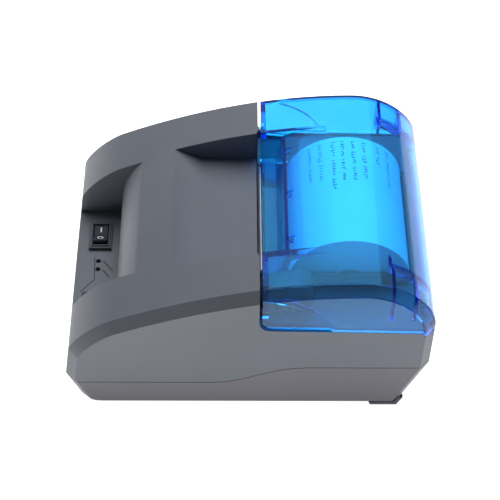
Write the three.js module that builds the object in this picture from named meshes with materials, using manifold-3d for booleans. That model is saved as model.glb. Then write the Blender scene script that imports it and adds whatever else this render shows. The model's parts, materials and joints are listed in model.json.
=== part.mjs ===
// Desktop receipt printer for 58 mm paper rolls. Millimetres, +Z up, -Y is the front,
// origin at the centre of the footprint on the table.
import * as THREE from 'three';
import { mergeVertices } from 'three/addons/utils/BufferGeometryUtils.js';
import Module from 'manifold-3d';

const wasm = await Module();
wasm.setup();

// ---------------------------------------------------------------- driving dimensions
const HALF_LENGTH = 75;
const HALF_WIDTH = 56;
const HEIGHT = 77.5;
const FLOOR_Z = 2; // underside of the case, the feet reach down to zero
const CHAMFER = 4; // all round both side faces
const SUNK = 2.8; // how far the underside cuts into that chamfer, which leaves little of it there
const WALL = 2.2;
const COVER_WALL = 2;
const GAP = 0.3;

const SEAM_FRONT_Z = 17;
const SEAM_REAR_Z = 27.5;
const COVER_FRONT_Y = 5.8;
const COVER_EDGE_Z = 52.5;
const COVER_EDGE_REAR_Z = 51;
const COVER_CORNER = 5.5;
const GRIP = { y: 5.5, z: 39.2, radius: 31, depth: 0.9 }; // stepped finger hold on each side of the cover
const COVER_FLANGE = { thickness: 2.3, depth: 3.4 };
const COVER_RIB = { x: 40.5, frontY: 55, rearY: 73, crossY: [56.5, 65.5], hook: 4.5, width: 1.2, depth: 4 };
const SHELF_RIB = { xs: [-24.5, 0, 24.5], y0: 13.2, y1: 18.8, width: 0.9, footZ: [66.5, 69] };

const NICHE = { halfWidth: 30.75, floorZ: 25.6, backY: -55.3, brimY: -43.5, brimZ: 58.6 };
const TRAY = { halfWidth: 33, floorZ: 58, rampTopY: -31, rampTopZ: 63.3, rampFootY: -19, endY: 4.1 };
const SHELF_END_Y = 12.5;
const RISER = { footY: 15, footZ: 71.5, bendY: 21.5, bendZ: 75.6, topY: 32, topZ: 77.05 }; // shelf to roof
const COVER_OPENING = 1.2; // how far the opening in the case is wider than the cover
const DECK = { bottomZ: 48.6, topZ: 50.4 };
const HINGE = { y: 72.3, z: 51.5, bead: 2.7, scoop: 3.05, pinRadius: 1 };
const KNUCKLE = { x0: 41.8, x1: 45.5, radius: 2.6, footZ: 47, pinReach: 7.6 };

const ROLL = { y: 41.5, z: 50, radius: 24.8, halfWidth: 28.75, coreRadius: 6.4, coreWall: 0.8 };
const BUCKET = { radius: 26, wall: 1.2, halfWidth: 29.6, cheek: 1.5, frontY: 22, cheekZ: 56 };
const WEB = { thickness: 0.2, stand: 0.4, exitY: 5.6, exitZ: 57.6 };

const PLATEN = { y: 10.8, z: 50.5, radius: 4, shaftRadius: 1.5, halfWidth: 29, shaftEnd: 34 };
const BRACKET = { x0: 30.2, x1: 31.3, y0: 7.6, y1: 15.8, plate: 0.9, footZ: 47.6, armZ: 53.6, armY: 24.2 };
const GEAR_HOOD = { x0: 35.4, x1: 43.4, skin: 1, footZ: 51.2 };
const MODULE = 0.8;
const PLATEN_TEETH = 16;
const SMALL_TEETH = 12;
const LARGE_TEETH = 24;
const PINION_TEETH = 10;
const REDUCTION = { y: PLATEN.y, z: PLATEN.z - (PLATEN_TEETH + SMALL_TEETH) * MODULE / 2 };
const PINION = {
  y: REDUCTION.y - (LARGE_TEETH + PINION_TEETH) * MODULE / 2 * Math.cos(Math.PI / 3),
  z: REDUCTION.z - (LARGE_TEETH + PINION_TEETH) * MODULE / 2 * Math.sin(Math.PI / 3),
};
const GEAR_INNER = [35.6, 38.4];
const GEAR_OUTER = [39, 41.6];
const GEAR_POST_RADIUS = 1.5;
const BUSH = { x0: 31.6, x1: 33.6, radius: 2.6 };
const FRAME = { x0: 32.2, x1: 33.4, frontY: -7.2, rearY: 18, bottomZ: 16.5, topZ: 55, sheet: 1.2 };
const WINDOW = { bottomZ: 30, rearY: 27, gearX: 44, gearTopZ: 65.5, rollX: 31.6, rollY: [14, 69.1] };
const HEAD_PIVOT = { y: 3.05, z: 44, radius: 0.8, halfLength: 34 };
const HEAD = { halfWidth: 31, frontY: 2.2, rearY: 5.1, bottomZ: 42, shoulderZ: 46, topZ: 55, foot: 1 };
const HEAD_SPRING = { x: 18, z: 50, turns: 5, coilRadius: 2, wireRadius: 0.3 };
const MOTOR = { x0: 11, x1: 31, radius: 9, flangeX: [30.2, 31.8] };
const TEAR_BAR = { pitch: 1.5, teeth: 42, bottomZ: 56.2, rootZ: 58.1, tipZ: 58.9, y: 4.5, thickness: 0.6 };

const ROCKER = { x: -15.5, y: -64, length: 15.2, width: 10, depth: 12 };
const ROCKER_BODY = { length: 13, width: 8 };
const ROCKER_WELL = { length: 11.6, width: 6.8, depth: 5, rim: 0.8 };
const FEED = { x: 22, y: -66, length: 12, width: 8, skirt: 0.9 };
const LIGHTS = [{ name: 'power_light', x: -1.7 }, { name: 'paper_light', x: 2.8 }];
const LIGHT_Y = -64.3;
const LIGHT_HOLE = 1.1;
const MAIN_BOARD = { halfWidth: 37, y0: -38, y1: 63, z: 9, thickness: 1.6 };
const FLEX = { x0: -14, x1: 6, y: -3.8, thickness: 0.3 };
const FLEX_SOCKET = { x: -4, y: -4 };
const MOTOR_SOCKET = { x: 18, y: -11 };
const BUZZER = { x: -24, y: -20, radius: 6 };
const PANEL_BOARD = { x0: -6.5, x1: 30, y0: -70, y1: -56.5, z: 17.2, thickness: 1.4 };
const BOARD_SCREWS = [[-32, -33], [32, -33], [-32, 40], [32, 40]];
const CASE_SCREWS = [[-42, -46], [42, -46], [-46, 45], [46, 45]];
const CASE_POST = { radius: 3.2, bottomZ: 15.4, frontTopZ: 55, rearTopZ: 49.5, bore: 1.8, boreTopZ: 24 };
const CASE_BOSS = { radius: 4.2, topZ: 15, headRadius: 3.3, headTopZ: 5 };
const BOARD_PILLAR = { radius: 3, bore: 1.3, boreZ: 4.4 };
const FRONT_FOOT = { x: 38, y: -56, radius: 5 };
const REAR_FOOT = { x0: 46, footY: [52.4, 63.6], topY: [50, 66], topZ: 5.6 };

// ---------------------------------------------------------------- materials
function plastic(color, roughness = 0.5) {
  return new THREE.MeshStandardMaterial({ color, roughness, metalness: 0 });
}
function metal(color, roughness = 0.35) {
  return new THREE.MeshStandardMaterial({ color, roughness, metalness: 1 });
}
const CASE_GREY = plastic(0x6b7077, 0.55);
const BASE_GREY = plastic(0x616166, 0.6);
const BLACK = plastic(0x16161a, 0.35);
const DARK_GREY = plastic(0x3a3d42, 0.5);
const COVER_BLUE = new THREE.MeshStandardMaterial({
  color: 0x37b4ff, roughness: 0.1, metalness: 0, transparent: true, opacity: 0.5,
});
const PAPER = plastic(0xf2f2ee, 0.9);
const CARD = plastic(0x9a8468, 0.9);
const RUBBER = plastic(0x202022, 0.85);
const GREY_RUBBER = plastic(0x55555b, 0.8);
const NYLON = plastic(0xe9e6da, 0.45);
const BOARD_GREEN = plastic(0x1d5b34, 0.5);
const LIGHT_LENS = plastic(0xbfe3c4, 0.2);
const FLEX_AMBER = plastic(0xb5762a, 0.4);
const CERAMIC = plastic(0xd9d4c6, 0.3);
const STEEL = metal(0xa9abb0);
const ALUMINIUM = metal(0xc3c6cb, 0.4);

// ---------------------------------------------------------------- solids
const X_AXIS = new THREE.Vector3(1, 0, 0);
const Y_AXIS = new THREE.Vector3(0, 1, 0);
const Z_AXIS = new THREE.Vector3(0, 0, 1);
const SIDE_VIEW = new THREE.Matrix4().makeBasis(Y_AXIS, Z_AXIS, X_AXIS);
const FRONT_VIEW = new THREE.Matrix4().makeBasis(X_AXIS, Z_AXIS, Y_AXIS.clone().negate());
const SOLID_SPAN = 90; // larger than the printer, for regions that cut right across it

function solid(geometry) {
  const bare = geometry.clone();
  bare.deleteAttribute('normal');
  bare.deleteAttribute('uv');
  const merged = mergeVertices(bare, 1e-4);
  return new wasm.Manifold(new wasm.Mesh({
    numProp: 3,
    vertProperties: new Float32Array(merged.attributes.position.array),
    triVerts: new Uint32Array(merged.index.array),
  }));
}

function join(first, ...others) {
  return others.reduce((sum, other) => sum.add(other), first);
}

function cut(first, ...others) {
  return others.reduce((rest, other) => rest.subtract(other), first);
}

function toGeometry(manifold) {
  const mesh = manifold.getMesh();
  const geometry = new THREE.BufferGeometry();
  geometry.setAttribute('position', new THREE.BufferAttribute(mesh.vertProperties, 3));
  geometry.setIndex(new THREE.BufferAttribute(mesh.triVerts, 1));
  geometry.computeVertexNormals();
  return geometry;
}

function polygon(points) {
  return new THREE.Shape(points.map(([u, v]) => new THREE.Vector2(u, v)));
}

// A side-view outline (y, z) extruded between two x values.
function slab(shape, x0, x1, curveSegments = 8) {
  const geometry = new THREE.ExtrudeGeometry(shape, { depth: x1 - x0, bevelEnabled: false, curveSegments });
  geometry.translate(0, 0, x0);
  geometry.applyMatrix4(SIDE_VIEW);
  return solid(geometry);
}

function region(points) {
  return slab(polygon(points), -SOLID_SPAN, SOLID_SPAN);
}

function box(x0, x1, y0, y1, z0, z1) {
  const geometry = new THREE.BoxGeometry(x1 - x0, y1 - y0, z1 - z0);
  geometry.translate((x0 + x1) / 2, (y0 + y1) / 2, (z0 + z1) / 2);
  return solid(geometry);
}

// A box centred on a place in plan view.
function around(place, length, width, z0, z1) {
  const halfX = length / 2;
  const halfY = width / 2;
  return box(place.x - halfX, place.x + halfX, place.y - halfY, place.y + halfY, z0, z1);
}

function rodX(y, z, radius, x0, x1, sides = 24) {
  const geometry = new THREE.CylinderGeometry(radius, radius, x1 - x0, sides);
  geometry.rotateZ(Math.PI / 2);
  geometry.translate((x0 + x1) / 2, y, z);
  return solid(geometry);
}

function rodZ(x, y, radius, z0, z1, sides = 20) {
  const geometry = new THREE.CylinderGeometry(radius, radius, z1 - z0, sides);
  geometry.rotateX(Math.PI / 2);
  geometry.translate(x, y, (z0 + z1) / 2);
  return solid(geometry);
}

// A closed tube around the X axis direction.
function sleeveX(y, z, outer, inner, x0, x1, sides = 32) {
  return cut(rodX(y, z, outer, x0, x1, sides), rodX(y, z, inner, x0 - 1, x1 + 1, sides));
}

function mirrored(build) {
  return [-1, 1].map((side) => build(side));
}

function between(side, a, b) {
  return side > 0 ? [a, b] : [-b, -a];
}

const printer = new THREE.Group();
function add(name, shape, material) {
  const mesh = new THREE.Mesh(toGeometry(shape), material);
  mesh.name = name;
  printer.add(mesh);
}

// ---------------------------------------------------------------- case envelope
function caseOutline() {
  const outline = new THREE.Shape();
  outline.moveTo(-HALF_LENGTH, SEAM_FRONT_Z + 1);
  outline.lineTo(-72.8, 33.8);
  outline.bezierCurveTo(-72, 39, -62, 49.9, -54, 53.6);
  outline.quadraticCurveTo(-2, HEIGHT, 45.5, HEIGHT);
  outline.bezierCurveTo(60, HEIGHT, HALF_LENGTH, 64.5, HALF_LENGTH, 51);
  outline.lineTo(HALF_LENGTH, SEAM_REAR_Z - 1);
  const lowest = FLOOR_Z - SUNK;
  outline.lineTo(64.4, lowest);
  outline.lineTo(-60, lowest);
  outline.quadraticCurveTo(-67.4, lowest, -69.4, lowest + 4.5);
  return outline;
}

// The case as one block, chamfered at both side faces and flat below, shrunk all round by inset.
function caseBlock(inset) {
  const chamfer = CHAMFER - inset * (2 - Math.SQRT2) / 2;
  const halfFlat = HALF_WIDTH - inset - chamfer;
  const geometry = new THREE.ExtrudeGeometry(caseOutline(), {
    depth: 2 * halfFlat,
    bevelThickness: chamfer,
    bevelSize: chamfer,
    bevelOffset: -chamfer - inset,
    bevelSegments: 1,
    curveSegments: 14,
  });
  geometry.translate(0, 0, -halfFlat);
  geometry.applyMatrix4(SIDE_VIEW);
  return solid(geometry).trimByPlane([0, 0, 1], FLOOR_Z + inset);
}

const OUTER = caseBlock(0);

// Everything below the line where the two halves of the case meet.
function belowSeam(drop) {
  const outline = new THREE.Shape();
  outline.moveTo(-SOLID_SPAN, -SOLID_SPAN);
  outline.lineTo(-SOLID_SPAN, SEAM_FRONT_Z - drop);
  outline.lineTo(-14, SEAM_FRONT_Z - drop);
  outline.bezierCurveTo(0, SEAM_FRONT_Z - drop, 8, SEAM_REAR_Z - drop, 25, SEAM_REAR_Z - drop);
  outline.lineTo(SOLID_SPAN, SEAM_REAR_Z - drop);
  outline.lineTo(SOLID_SPAN, -SOLID_SPAN);
  return slab(outline, -SOLID_SPAN, SOLID_SPAN);
}

// The space of the paper cover: grow widens it for the opening in the case.
function coverRegion(grow) {
  const front = COVER_FRONT_Y - grow;
  const edge = COVER_EDGE_Z - Math.min(grow, GAP);
  const rearEdge = COVER_EDGE_REAR_Z - Math.min(grow, GAP);
  const outline = new THREE.Shape();
  outline.moveTo(front, 2 * HEIGHT);
  outline.lineTo(front, edge + COVER_CORNER);
  outline.quadraticCurveTo(front, edge, front + COVER_CORNER, edge);
  outline.lineTo(HINGE.y, rearEdge);
  outline.lineTo(SOLID_SPAN, rearEdge);
  outline.lineTo(SOLID_SPAN, 2 * HEIGHT);
  return slab(outline, -SOLID_SPAN, SOLID_SPAN);
}

// ---------------------------------------------------------------- top shell
function nicheSpace(grow) {
  const outline = new THREE.Shape();
  const floor = NICHE.floorZ - grow;
  outline.moveTo(-SOLID_SPAN, floor);
  outline.lineTo(NICHE.backY + grow, floor);
  const brimY = NICHE.brimY + grow;
  outline.bezierCurveTo(-54.8 + grow, 42, -53 + grow, 51.5 + grow / 2, brimY, NICHE.brimZ + grow);
  outline.lineTo(brimY, 2 * HEIGHT);
  outline.lineTo(-SOLID_SPAN, 2 * HEIGHT);
  return slab(outline, -NICHE.halfWidth - grow, NICHE.halfWidth + grow, 12);
}

function traySpace(grow) {
  const floor = TRAY.floorZ - grow;
  const outline = polygon([
    [TRAY.rampTopY - 3, TRAY.rampTopZ + 1.3 - grow],
    [TRAY.rampTopY, TRAY.rampTopZ - grow],
    [TRAY.rampFootY, floor],
    [COVER_FRONT_Y, floor],
    [COVER_FRONT_Y, 2 * HEIGHT],
    [TRAY.rampTopY - 3, 2 * HEIGHT],
  ]);
  return slab(outline, -TRAY.halfWidth - grow, TRAY.halfWidth + grow);
}

// A box of the side view that reaches right across the printer.
function band(y0, y1, z0, z1) {
  return box(-SOLID_SPAN, SOLID_SPAN, y0, y1, z0, z1);
}

function topShell() {
  const room = caseBlock(WALL);
  const bulkheadY = COVER_FRONT_Y - COVER_OPENING - WALL;
  const rearLedge = { y: 66, z: 46 };
  const underRoof = cut(
    room.intersect(band(-SOLID_SPAN, bulkheadY, 0, SOLID_SPAN)),
    nicheSpace(WALL),
    traySpace(WALL),
  );
  const underDeck = room.intersect(join(
    band(bulkheadY - 1, SOLID_SPAN, 0, rearLedge.z),
    band(bulkheadY - 1, rearLedge.y, rearLedge.z - 1, DECK.bottomZ),
  ));
  const coverCornerZ = COVER_EDGE_Z + COVER_CORNER;
  const aboveDeck = room.intersect(band(COVER_FRONT_Y - 1, SOLID_SPAN, DECK.topZ, coverCornerZ));
  const rearRim = join(
    band(HINGE.y, SOLID_SPAN, HINGE.z - HINGE.scoop, SOLID_SPAN),
    rodX(HINGE.y, HINGE.z, HINGE.scoop, -SOLID_SPAN, SOLID_SPAN, 36),
  );
  const frameX = FRAME.x1 + 2 * GAP;
  const frameY = FRAME.frontY - 1;
  const windows = [
    // the printing mechanism, open at the deck, under the tray floor and at the exit slot
    box(-frameX, WINDOW.gearX, frameY, WINDOW.rearY, WINDOW.bottomZ, DECK.topZ + 1),
    box(-frameX, frameX, frameY, WINDOW.rearY, WINDOW.bottomZ, TRAY.floorZ - WALL),
    box(-frameX, frameX, TRAY.endY, WINDOW.rearY, WINDOW.bottomZ, SOLID_SPAN),
    // the gears beside it
    box(FRAME.x1, WINDOW.gearX, 0, COVER_FRONT_Y, WINDOW.bottomZ, WINDOW.gearTopZ),
    // the roll
    box(-WINDOW.rollX, WINDOW.rollX, ...WINDOW.rollY, WINDOW.bottomZ, SOLID_SPAN),
    // rocker, feed button and the two lights
    around(ROCKER, ROCKER_BODY.length + 2 * GAP, ROCKER_BODY.width + 2 * GAP, 20, 30),
    around(FEED, FEED.length + 2 * GAP, FEED.width + 2 * GAP, 20, 30),
    ...LIGHTS.map((light) => rodZ(light.x, LIGHT_Y, LIGHT_HOLE, 20, 30)),
  ];
  let shell = cut(
    OUTER,
    belowSeam(0),
    coverRegion(COVER_OPENING),
    underRoof,
    underDeck,
    aboveDeck,
    rearRim,
    nicheSpace(0),
    traySpace(0),
    ...windows,
  );
  for (const side of [-1, 1]) {
    const [x0, x1] = between(side, KNUCKLE.x0, KNUCKLE.x1);
    const knuckle = join(
      rodX(HINGE.y, HINGE.z, KNUCKLE.radius, x0, x1),
      box(x0, x1, HINGE.y - KNUCKLE.radius, HINGE.y, KNUCKLE.footZ, HINGE.z),
    );
    shell = shell.add(cut(knuckle, rodX(HINGE.y, HINGE.z, HINGE.pinRadius + GAP, x0 - 1, x1 + 1)));
  }
  for (const [x, y] of CASE_SCREWS) {
    const top = y < 0 ? CASE_POST.frontTopZ : CASE_POST.rearTopZ;
    const post = rodZ(x, y, CASE_POST.radius, CASE_POST.bottomZ, top);
    shell = shell.add(cut(post, rodZ(x, y, CASE_POST.bore, 0, CASE_POST.boreTopZ)));
  }
  return shell;
}
add('top_shell', topShell(), CASE_GREY);

// ---------------------------------------------------------------- bottom shell
const PORT_FACE_Y = 69.2;
const PORT_DEPTH = 9;
const PORTS = {
  usb_port: { x0: -29, x1: -17, y0: 53, z1: 22, holeWidth: 8.6, holeHeight: 7.8, material: STEEL },
  drawer_port: { x0: -6.5, x1: 6.5, y0: 53, z1: 23, holeWidth: 9.6, holeHeight: 6.8, material: BLACK },
  dc_jack: { x0: 17.5, x1: 27, y0: 55, z1: 22, holeWidth: 6.4, holeHeight: 6.4, material: BLACK },
};
const PORT_Z0 = MAIN_BOARD.z + MAIN_BOARD.thickness + GAP;

function bottomShell() {
  let shell = cut(OUTER.intersect(belowSeam(GAP)), caseBlock(WALL));
  for (const port of Object.values(PORTS)) {
    shell = shell.subtract(
      box(port.x0 - GAP, port.x1 + GAP, MAIN_BOARD.y1 - 3, SOLID_SPAN, PORT_Z0 - GAP, port.z1 + GAP),
    );
  }
  for (const [x, y] of CASE_SCREWS) {
    const boss = rodZ(x, y, CASE_BOSS.radius, FLOOR_Z + 0.1, CASE_BOSS.topZ);
    const bore = rodZ(x, y, CASE_POST.bore, 0, 20);
    shell = cut(shell.add(boss), bore, rodZ(x, y, CASE_BOSS.headRadius, 0, CASE_BOSS.headTopZ));
  }
  for (const [x, y] of BOARD_SCREWS) {
    const pillar = rodZ(x, y, BOARD_PILLAR.radius, FLOOR_Z + 0.1, MAIN_BOARD.z - GAP);
    shell = cut(shell.add(pillar), rodZ(x, y, BOARD_PILLAR.bore, BOARD_PILLAR.boreZ, 20, 12));
  }
  return shell;
}
add('bottom_shell', bottomShell(), BASE_GREY);

// ---------------------------------------------------------------- paper cover
// Space above the low shelf at the exit slot; grow thickens it into the shelf's walls.
function shelfSpace(grow) {
  const outline = polygon([
    [0, TRAY.floorZ - grow],
    [SHELF_END_Y + grow, TRAY.floorZ - grow],
    [RISER.footY + grow, RISER.footZ - grow],
  ]);
  const topY = RISER.topY + grow;
  outline.quadraticCurveTo(RISER.bendY + grow, RISER.bendZ - grow, topY, RISER.topZ - grow);
  outline.lineTo(topY, 2 * HEIGHT);
  outline.lineTo(0, 2 * HEIGHT);
  return slab(outline, -TRAY.halfWidth - grow, TRAY.halfWidth + grow);
}

// The inside of the cover made smaller all round by about depth, to cut ribs to that depth.
function ribRoom(inside, depth) {
  return inside.scale([1 - depth / HALF_WIDTH, 1, 1]).translate([0, 0, -depth]);
}

function coverRibs(inside) {
  const flange = cut(
    band(COVER_FRONT_Y, COVER_FRONT_Y + COVER_FLANGE.thickness, COVER_EDGE_Z + COVER_CORNER, SOLID_SPAN),
    ribRoom(inside, COVER_FLANGE.depth),
    box(-TRAY.halfWidth - 1, TRAY.halfWidth + 1, 0, 20, 0, SOLID_SPAN),
  );
  const { x, frontY, rearY, crossY, hook, width } = COVER_RIB;
  const rib = (side, x0, x1, y0, y1) => box(...between(side, x0, x1), y0, y1, TRAY.floorZ, SOLID_SPAN);
  const sideRibs = mirrored((side) => join(
    rib(side, x - width / 2, x + width / 2, frontY, rearY),
    rib(side, x - hook, x, frontY, frontY + width),
    ...crossY.map((y) => rib(side, x, HALF_WIDTH, y - width / 2, y + width / 2)),
  ));
  const hingeRibs = cut(join(...sideRibs), ribRoom(inside, COVER_RIB.depth));
  const { y0, y1, footZ } = SHELF_RIB;
  const shelfRib = polygon([[y0, footZ[0]], [y1, footZ[1]], [y1, SOLID_SPAN], [y0, SOLID_SPAN]]);
  const shelfRibs = SHELF_RIB.xs.map(
    (middle) => slab(shelfRib, middle - SHELF_RIB.width / 2, middle + SHELF_RIB.width / 2),
  );
  return join(flange, hingeRibs, ...shelfRibs);
}

function paperCover() {
  const envelope = cut(OUTER.intersect(coverRegion(0)), shelfSpace(0));
  const inside = caseBlock(COVER_WALL);
  const shelfFront = box(-TRAY.halfWidth, TRAY.halfWidth, 0, 6.4, WINDOW.bottomZ, TRAY.floorZ + 0.1);
  const gripPads = mirrored((side) => rodX(GRIP.y, GRIP.z, GRIP.radius + COVER_WALL / 2,
    ...between(side, HALF_WIDTH - COVER_WALL - GRIP.depth, HALF_WIDTH), 120));
  const room = cut(inside, shelfSpace(COVER_WALL), ...gripPads);
  let cover = cut(envelope, room, shelfFront);
  cover = cover.add(coverRibs(inside).intersect(envelope));

  // hinge bead along the rear edge, notched round the two knuckles of the case
  const bead = rodX(HINGE.y, HINGE.z, HINGE.bead, -HALF_WIDTH, HALF_WIDTH, 36);
  cover = cover.add(bead.intersect(OUTER));
  for (const side of [-1, 1]) {
    const [notchX0, notchX1] = between(side, KNUCKLE.x0 - GAP, KNUCKLE.x1 + GAP);
    const [pinX0, pinX1] = between(side, KNUCKLE.x0 - KNUCKLE.pinReach - 0.4, KNUCKLE.x1 + 1.6);
    const [gripX0, gripX1] = between(side, HALF_WIDTH - GRIP.depth, HALF_WIDTH + 1);
    cover = cut(
      cover,
      rodX(HINGE.y, HINGE.z, HINGE.scoop, notchX0, notchX1, 36),
      rodX(HINGE.y, HINGE.z, HINGE.pinRadius + GAP, pinX0, pinX1),
      rodX(GRIP.y, GRIP.z, GRIP.radius, gripX0, gripX1, 120),
    );
  }
  return cover;
}
add('paper_cover', paperCover(), COVER_BLUE);

mirrored((side) => {
  const [x0, x1] = between(side, KNUCKLE.x0 - KNUCKLE.pinReach, KNUCKLE.x1 + 1.2);
  const name = side < 0 ? 'hinge_pin_left' : 'hinge_pin_right';
  add(name, rodX(HINGE.y, HINGE.z, HINGE.pinRadius, x0, x1, 16), STEEL);
});

// ---------------------------------------------------------------- gears and platen
function gearShape(teeth, phase, bore) {
  const pitch = teeth * MODULE / 2;
  const tip = pitch + 0.5;
  const root = pitch - 0.85;
  const step = 2 * Math.PI / teeth;
  const corners = [[-0.30, root], [-0.12, tip], [0.12, tip], [0.30, root]];
  const outline = [];
  for (let tooth = 0; tooth < teeth; tooth += 1) {
    for (const [share, radius] of corners) {
      const angle = phase + (tooth + share) * step;
      outline.push([radius * Math.cos(angle), radius * Math.sin(angle)]);
    }
  }
  const shape = polygon(outline);
  if (bore > 0) {
    shape.holes.push(new THREE.Path().absarc(0, 0, bore, 0, 2 * Math.PI, true));
  }
  return shape;
}

function gear(teeth, phase, bore, centre, x0, x1) {
  const shape = gearShape(teeth, phase, bore);
  return slab(shape, x0, x1, 8).translate([0, centre.y, centre.z]);
}

const degrees = (angle) => angle * Math.PI / 180;

const loose = PLATEN.shaftRadius + GAP;
add('platen_roller',
  sleeveX(PLATEN.y, PLATEN.z, PLATEN.radius, loose, -PLATEN.halfWidth, PLATEN.halfWidth, 40), RUBBER);
add('platen_shaft',
  rodX(PLATEN.y, PLATEN.z, PLATEN.shaftRadius, -PLATEN.shaftEnd, GEAR_INNER[1] + 0.4), STEEL);
add('platen_gear', gear(PLATEN_TEETH, 0, loose, PLATEN, ...GEAR_INNER), NYLON);
add('reduction_gear', join(
  gear(SMALL_TEETH, degrees(180 / SMALL_TEETH), loose, REDUCTION, ...GEAR_INNER),
  gear(LARGE_TEETH, 0, loose, REDUCTION, ...GEAR_OUTER),
  sleeveX(REDUCTION.y, REDUCTION.z, 2 * GEAR_POST_RADIUS + 0.2, loose, GEAR_INNER[0], GEAR_OUTER[1]),
), NYLON);
add('gear_post',
  rodX(REDUCTION.y, REDUCTION.z, GEAR_POST_RADIUS, FRAME.x1 + GAP, GEAR_OUTER[1] + 0.6), STEEL);
add('motor_pinion', join(
  gear(PINION_TEETH, degrees(6), 0, PINION, ...GEAR_OUTER),
  rodX(PINION.y, PINION.z, 1, MOTOR.flangeX[1] + GAP, GEAR_OUTER[1] + 0.4, 16),
), NYLON);
mirrored((side) => {
  const name = side < 0 ? 'platen_bush_left' : 'platen_bush_right';
  add(name, sleeveX(PLATEN.y, PLATEN.z, BUSH.radius, loose, ...between(side, BUSH.x0, BUSH.x1)), BLACK);
});

// ---------------------------------------------------------------- bracket under the cover
// The cap over the gears, as a side view shrunk inwards by skin.
function gearHood(skin) {
  const hood = new THREE.Shape();
  const front = 2.9 + 0.6 * skin;
  const top = 64.6 - 1.4 * skin;
  const rear = skin > 0 ? 18.3 : 26.6;
  const foot = skin > 0 ? WINDOW.bottomZ : GEAR_HOOD.footZ;
  hood.moveTo(front, foot);
  hood.lineTo(front, 55);
  hood.bezierCurveTo(front + 1.1, 62 - 1.4 * skin, 12, top, 20 - 1.7 * skin, top);
  if (skin === 0) {
    hood.quadraticCurveTo(rear, top, rear, 58);
  }
  hood.lineTo(rear, foot);
  return hood;
}

function platenBracket() {
  const { x0, x1, y0, y1, plate, footZ, armZ, armY } = BRACKET;
  const topZ = TRAY.floorZ - COVER_WALL - GAP;
  const cheeks = mirrored((side) => {
    const [a, b] = between(side, x0, x1);
    return cut(box(a, b, y0, y1, footZ, topZ), rodX(PLATEN.y, PLATEN.z, loose, a - 1, b + 1));
  });
  const arm = join(
    box(x0, x1, y1 - 0.8, armY, armZ, topZ),
    box(x0, GEAR_HOOD.x1, armY - 5.6, armY, armZ, topZ),
  );
  const hood = cut(
    slab(gearHood(0), GEAR_HOOD.x0, GEAR_HOOD.x1),
    slab(gearHood(GEAR_HOOD.skin), GEAR_HOOD.x0 - 1, GEAR_HOOD.x1 - GEAR_HOOD.skin),
  );
  const shelfX = TRAY.halfWidth + COVER_WALL;
  const besideShelf = box(shelfX - 5, shelfX + GAP + 0.05, 0, 30, topZ + GAP, 70);
  return cut(join(box(-x1, x1, y0, y1, topZ - plate, topZ), ...cheeks, arm, hood), besideShelf);
}
add('platen_bracket', platenBracket(), DARK_GREY);

// ---------------------------------------------------------------- paper
add('paper_roll',
  sleeveX(ROLL.y, ROLL.z, ROLL.radius, ROLL.coreRadius + GAP, -ROLL.halfWidth, ROLL.halfWidth, 72), PAPER);
add('roll_core', sleeveX(ROLL.y, ROLL.z, ROLL.coreRadius, ROLL.coreRadius - ROLL.coreWall,
  -ROLL.halfWidth, ROLL.halfWidth, 40), CARD);

// The web leaves the roll, wraps the front of the platen and stands in the exit slot.
function paperWeb() {
  const half = WEB.thickness / 2;
  const rollRadius = ROLL.radius + WEB.stand + half;
  const platenRadius = PLATEN.radius + WEB.stand;
  const lean = Math.PI - Math.acos((rollRadius - platenRadius) / (ROLL.y - PLATEN.y));
  const tangentPoint = (centre, radius) => [
    centre.y + radius * Math.cos(lean),
    centre.z - radius * Math.sin(lean),
  ];
  const outline = new THREE.Shape();
  outline.moveTo(...tangentPoint(ROLL, rollRadius + half));
  outline.lineTo(...tangentPoint(PLATEN, platenRadius + half));
  outline.absarc(PLATEN.y, PLATEN.z, platenRadius + half, -lean, -Math.PI, true);
  outline.lineTo(WEB.exitY, WEB.exitZ);
  outline.lineTo(WEB.exitY + WEB.thickness, WEB.exitZ);
  outline.absarc(PLATEN.y, PLATEN.z, platenRadius - half, -Math.PI, -lean, false);
  outline.lineTo(...tangentPoint(ROLL, rollRadius - half));
  return slab(outline, -ROLL.halfWidth, ROLL.halfWidth);
}
add('paper_web', paperWeb(), PAPER);

// A half-round trough under the roll, with a low cheek beside each end of it.
function rollBucket() {
  const outer = BUCKET.halfWidth + BUCKET.cheek;
  const trough = rodX(ROLL.y, ROLL.z, BUCKET.radius + BUCKET.wall, -outer, outer, 64);
  const hollow = rodX(ROLL.y, ROLL.z, BUCKET.radius, -BUCKET.halfWidth, BUCKET.halfWidth, 64);
  const above = band(-SOLID_SPAN, SOLID_SPAN, ROLL.z, SOLID_SPAN);
  const front = band(-SOLID_SPAN, BUCKET.frontY, 0, SOLID_SPAN);
  const footHalf = 18;
  const topHalf = 15.5;
  const cheekOutline = polygon([
    [BUCKET.frontY + 2, ROLL.z - 1],
    [BUCKET.frontY + 2, ROLL.z + 3],
    [ROLL.y + 0.5 - topHalf, BUCKET.cheekZ],
    [ROLL.y + 0.5 + topHalf, BUCKET.cheekZ],
    [ROLL.y + 0.5 + footHalf, ROLL.z + 3],
    [ROLL.y + 0.5 + footHalf, ROLL.z - 1],
  ]);
  const cheeks = mirrored((side) => slab(cheekOutline, ...between(side, BUCKET.halfWidth, outer)));
  return join(cut(trough, hollow, above, front), ...cheeks);
}
add('roll_bucket', rollBucket(), BASE_GREY);

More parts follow.
